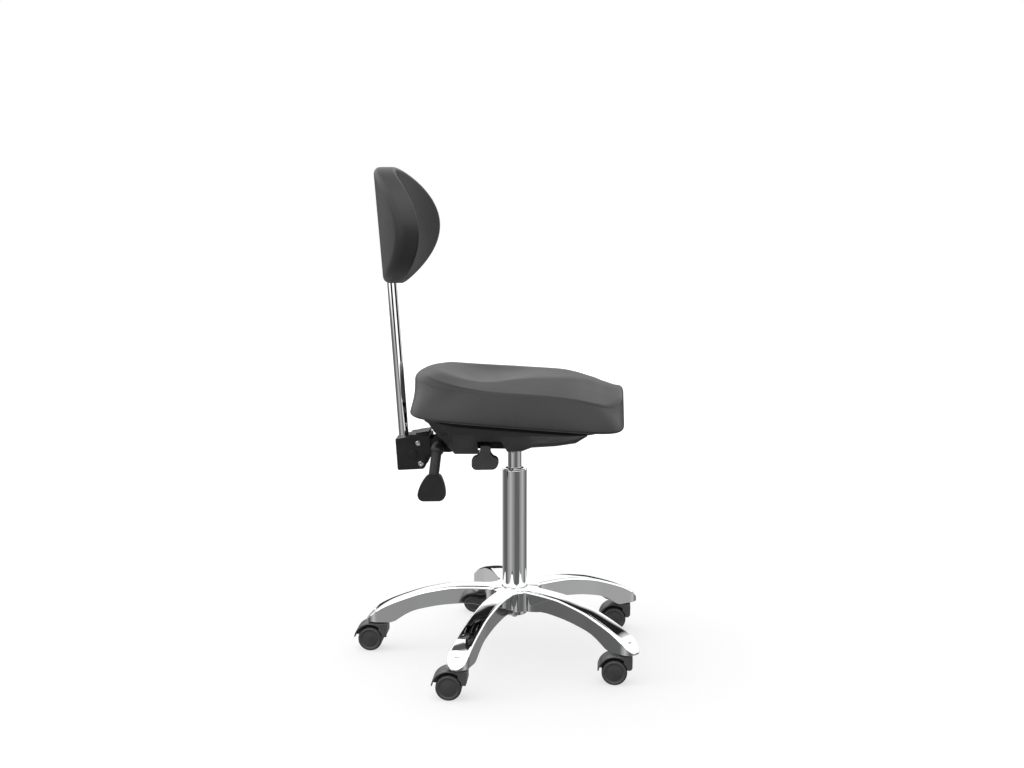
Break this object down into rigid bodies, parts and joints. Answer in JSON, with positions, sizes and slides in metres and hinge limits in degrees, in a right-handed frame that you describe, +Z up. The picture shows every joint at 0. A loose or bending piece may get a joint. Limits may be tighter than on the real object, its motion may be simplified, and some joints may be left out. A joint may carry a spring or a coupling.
{
  "type": "swivel work stool",
  "caption": "Saddle-crowned swivel stool with a height and tilt adjustable oval backrest, gas lift column and a star base on twin-wheel castors",
  "frame": {"origin": "centre of the footprint of the bounding box, on the floor; the column axis is vertical at x = 0.0395, y = 0", "axes": "+Z up, the sitter faces +X, +Y is the sitter's left; metres"},
  "size_m": [0.5854, 0.5878, 0.9929],
  "materials": {
    "polished_aluminium": "polished",
    "chrome_plate": "polished",
    "plain_steel": "satin",
    "zinc_steel": "satin",
    "black_sheet_metal": "satin",
    "cover_plastic": "matte",
    "lever_plastic": "satin",
    "castor_plastic": "satin",
    "wheel_plastic": "matte",
    "bush_plastic": "matte",
    "upholstery": "matte",
    "plywood": "matte",
    "rubber": "matte"
  },
  "bodies": {
    "base": {"star_base": "polished_aluminium", "column_tube": "chrome_plate", "column_bush": "bush_plastic", "thrust_bearing": "plain_steel", "castor_stem_1": "plain_steel", "castor_stem_2": "plain_steel", "castor_stem_3": "plain_steel", "castor_stem_4": "plain_steel", "castor_stem_5": "plain_steel"},
    "lift_rod": {"piston_rod": "plain_steel", "bump_stop": "rubber", "rod_clip": "zinc_steel"},
    "seat": {"gas_cylinder": "chrome_plate", "mechanism_plate": "black_sheet_metal", "mechanism_housing": "black_sheet_metal", "back_pivot_pin": "zinc_steel", "mechanism_cover": "cover_plastic", "seat_board": "plywood", "seat_cushion": "upholstery", "seat_screw_1": "zinc_steel", "seat_screw_2": "zinc_steel", "seat_screw_3": "zinc_steel", "seat_screw_4": "zinc_steel"},
    "gas_button": {"gas_button": "zinc_steel"},
    "lift_lever": {"lift_lever_arm": "plain_steel", "lift_lever_paddle": "lever_plastic"},
    "tilt_lever": {"tilt_lock_shaft": "plain_steel", "tilt_lever_paddle": "lever_plastic"},
    "back_carrier": {"back_arm": "black_sheet_metal", "back_bracket": "black_sheet_metal", "tube_guide": "bush_plastic", "bracket_bolt_upper": "zinc_steel", "bracket_bolt_lower": "zinc_steel", "bracket_nut_upper": "zinc_steel", "bracket_nut_lower": "zinc_steel"},
    "backrest": {"back_tube": "chrome_plate", "pad_plate": "plain_steel", "back_pad": "upholstery"},
    "castor_1": {"castor_hood_1": "castor_plastic", "castor_axle_1": "plain_steel"},
    "wheel_1_left": {"castor_wheel_1_left": "wheel_plastic"},
    "wheel_1_right": {"castor_wheel_1_right": "wheel_plastic"},
    "castor_2": {"castor_hood_2": "castor_plastic", "castor_axle_2": "plain_steel"},
    "wheel_2_left": {"castor_wheel_2_left": "wheel_plastic"},
    "wheel_2_right": {"castor_wheel_2_right": "wheel_plastic"},
    "castor_3": {"castor_hood_3": "castor_plastic", "castor_axle_3": "plain_steel"},
    "wheel_3_left": {"castor_wheel_3_left": "wheel_plastic"},
    "wheel_3_right": {"castor_wheel_3_right": "wheel_plastic"},
    "castor_4": {"castor_hood_4": "castor_plastic", "castor_axle_4": "plain_steel"},
    "wheel_4_left": {"castor_wheel_4_left": "wheel_plastic"},
    "wheel_4_right": {"castor_wheel_4_right": "wheel_plastic"},
    "castor_5": {"castor_hood_5": "castor_plastic", "castor_axle_5": "plain_steel"},
    "wheel_5_left": {"castor_wheel_5_left": "wheel_plastic"},
    "wheel_5_right": {"castor_wheel_5_right": "wheel_plastic"}
  },
  "joints": [
    {"name": "seat_swivel", "type": "hinge", "parent": "base", "child": "lift_rod", "pos_m": [0.0395, 0, 0.2], "axis": [0, 0, 1], "continuous": true},
    {"name": "seat_lift", "type": "slide", "parent": "lift_rod", "child": "seat", "axis": [0, 0, 1], "range_m": [0, 0.19]},
    {"name": "lift_lever_pull", "type": "hinge", "parent": "seat", "child": "lift_lever", "pos_m": [-0.0125, -0.0335, 0.464], "axis": [-1, 0, 0], "range_deg": [0, 6], "stiffness_Nm_per_rad": 0.6, "springref_deg": -4.58},
    {"name": "gas_button_press", "type": "slide", "parent": "seat", "child": "gas_button", "axis": [0, 0, -1], "range_m": [0, 0.0039]},
    {"name": "tilt_lever_turn", "type": "hinge", "parent": "seat", "child": "tilt_lever", "pos_m": [-0.1095, 0, 0.4385], "axis": [0, 1, 0], "range_deg": [0, 30]},
    {"name": "back_tilt", "type": "hinge", "parent": "seat", "child": "back_carrier", "pos_m": [-0.0785, 0, 0.466], "axis": [0, -1, 0], "range_deg": [-6, 12]},
    {"name": "back_height", "type": "slide", "parent": "back_carrier", "child": "backrest", "axis": [-0.0663, 0, 0.9978], "range_m": [-0.05, 0.02]},
    {"name": "castor_1_swivel", "type": "hinge", "parent": "base", "child": "castor_1", "pos_m": [0.26522, 0.16399, 0.06], "axis": [0, 0, 1], "continuous": true},
    {"name": "wheel_1_left_spin", "type": "hinge", "parent": "castor_1", "child": "wheel_1_left", "pos_m": [0.24522, 0.16399, 0.025], "axis": [0, 1, 0], "continuous": true},
    {"name": "wheel_1_right_spin", "type": "hinge", "parent": "castor_1", "child": "wheel_1_right", "pos_m": [0.24522, 0.16399, 0.025], "axis": [0, 1, 0], "continuous": true},
    {"name": "castor_2_swivel", "type": "hinge", "parent": "base", "child": "castor_2", "pos_m": [-0.04672, 0.26534, 0.06], "axis": [0, 0, 1], "continuous": true},
    {"name": "wheel_2_left_spin", "type": "hinge", "parent": "castor_2", "child": "wheel_2_left", "pos_m": [-0.06672, 0.26534, 0.025], "axis": [0, 1, 0], "continuous": true},
    {"name": "wheel_2_right_spin", "type": "hinge", "parent": "castor_2", "child": "wheel_2_right", "pos_m": [-0.06672, 0.26534, 0.025], "axis": [0, 1, 0], "continuous": true},
    {"name": "castor_3_swivel", "type": "hinge", "parent": "base", "child": "castor_3", "pos_m": [-0.2395, 0, 0.06], "axis": [0, 0, 1], "continuous": true},
    {"name": "wheel_3_left_spin", "type": "hinge", "parent": "castor_3", "child": "wheel_3_left", "pos_m": [-0.2595, 0, 0.025], "axis": [0, 1, 0], "continuous": true},
    {"name": "wheel_3_right_spin", "type": "hinge", "parent": "castor_3", "child": "wheel_3_right", "pos_m": [-0.2595, 0, 0.025], "axis": [0, 1, 0], "continuous": true},
    {"name": "castor_4_swivel", "type": "hinge", "parent": "base", "child": "castor_4", "pos_m": [-0.04672, -0.26534, 0.06], "axis": [0, 0, 1], "continuous": true},
    {"name": "wheel_4_left_spin", "type": "hinge", "parent": "castor_4", "child": "wheel_4_left", "pos_m": [-0.06672, -0.26534, 0.025], "axis": [0, 1, 0], "continuous": true},
    {"name": "wheel_4_right_spin", "type": "hinge", "parent": "castor_4", "child": "wheel_4_right", "pos_m": [-0.06672, -0.26534, 0.025], "axis": [0, 1, 0], "continuous": true},
    {"name": "castor_5_swivel", "type": "hinge", "parent": "base", "child": "castor_5", "pos_m": [0.26522, -0.16399, 0.06], "axis": [0, 0, 1], "continuous": true},
    {"name": "wheel_5_left_spin", "type": "hinge", "parent": "castor_5", "child": "wheel_5_left", "pos_m": [0.24522, -0.16399, 0.025], "axis": [0, 1, 0], "continuous": true},
    {"name": "wheel_5_right_spin", "type": "hinge", "parent": "castor_5", "child": "wheel_5_right", "pos_m": [0.24522, -0.16399, 0.025], "axis": [0, 1, 0], "continuous": true}
  ],
  "couplings": [
    {"joint": "gas_button_press", "follows": "lift_lever_pull", "m_per_rad": 0.037}
  ]
}
